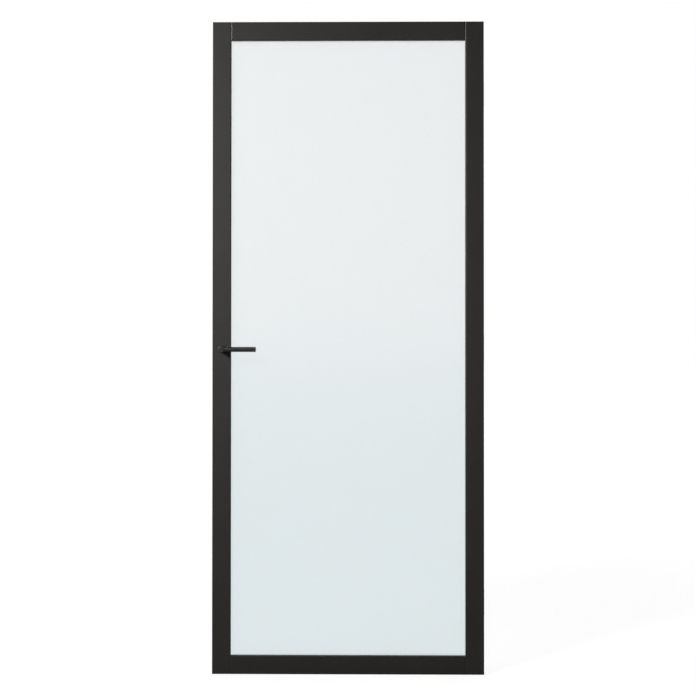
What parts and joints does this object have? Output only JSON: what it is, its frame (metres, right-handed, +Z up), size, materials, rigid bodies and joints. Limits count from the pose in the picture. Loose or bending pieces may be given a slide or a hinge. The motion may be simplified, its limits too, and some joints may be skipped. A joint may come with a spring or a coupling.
{
  "type": "glass door",
  "caption": "Black framed door leaf with one satin glass pane, a lever handle on each face, a magnetic latch in the lock edge and butt hinges on the other.",
  "frame": {"origin": "middle of the leaf's bottom edge, halfway through its thickness", "axes": "+X from the lock edge to the hinge edge, +Y from the front face to the rear face where the hinge knuckles are, +Z up"},
  "size_m": [0.886, 0.142, 2.115],
  "materials": {
    "black_lacquer": "satin",
    "satin_glass": "satin",
    "glazing_tape": "matte",
    "nylon": "matte",
    "beech": "matte",
    "black_metal": "satin",
    "lock_steel": "satin",
    "magnet": "satin",
    "spring_steel": "satin"
  },
  "bodies": {
    "frame_side": {"upper_hinge_frame_flap": "black_metal", "upper_hinge_pin": "black_metal", "middle_hinge_frame_flap": "black_metal", "middle_hinge_pin": "black_metal", "lower_hinge_frame_flap": "black_metal", "lower_hinge_pin": "black_metal"},
    "door_leaf": {"lock_stile": "black_lacquer", "hinge_stile": "black_lacquer", "top_rail": "black_lacquer", "bottom_rail": "black_lacquer", "top_bead": "black_lacquer", "bottom_bead": "black_lacquer", "lock_side_bead": "black_lacquer", "hinge_side_bead": "black_lacquer", "glass_pane": "satin_glass", "front_seal": "glazing_tape", "rear_seal": "glazing_tape", "setting_blocks": "nylon", "front_bush": "nylon", "rear_bush": "nylon", "corner_dowels": "beech", "bead_screws": "black_metal", "forend": "black_metal", "forend_screws": "black_metal", "front_rose": "black_metal", "rear_rose": "black_metal", "hinge_screws": "black_metal", "upper_hinge_door_flap": "black_metal", "middle_hinge_door_flap": "black_metal", "lower_hinge_door_flap": "black_metal", "lock_case": "lock_steel", "case_cover": "lock_steel", "cover_screws": "lock_steel", "bolt_spring": "spring_steel", "return_spring": "spring_steel"},
    "lever_set": {"front_lever": "black_metal", "rear_lever": "black_metal", "spindle": "lock_steel", "follower": "lock_steel", "grub_screws": "black_metal"},
    "latch": {"latch_bolt": "lock_steel", "bolt_magnet": "magnet"}
  },
  "joints": [
    {"name": "leaf_swing", "type": "hinge", "parent": "frame_side", "child": "door_leaf", "pos_m": [0.4405, 0.02755, 0], "axis": [0, 0, -1], "range_deg": [0, 110]},
    {"name": "lever_turn", "type": "hinge", "parent": "door_leaf", "child": "lever_set", "pos_m": [-0.405, 0, 1.05], "axis": [0, 1, 0], "range_deg": [0, 40], "stiffness_Nm_per_rad": 1.2, "springref_deg": -28.65, "deforming": ["return_spring"]},
    {"name": "latch_slide", "type": "slide", "parent": "door_leaf", "child": "latch", "axis": [-1, 0, 0], "range_m": [0, 0.011], "stiffness_N_per_m": 40, "springref_m": -0.02, "deforming": ["bolt_spring"]}
  ]
}
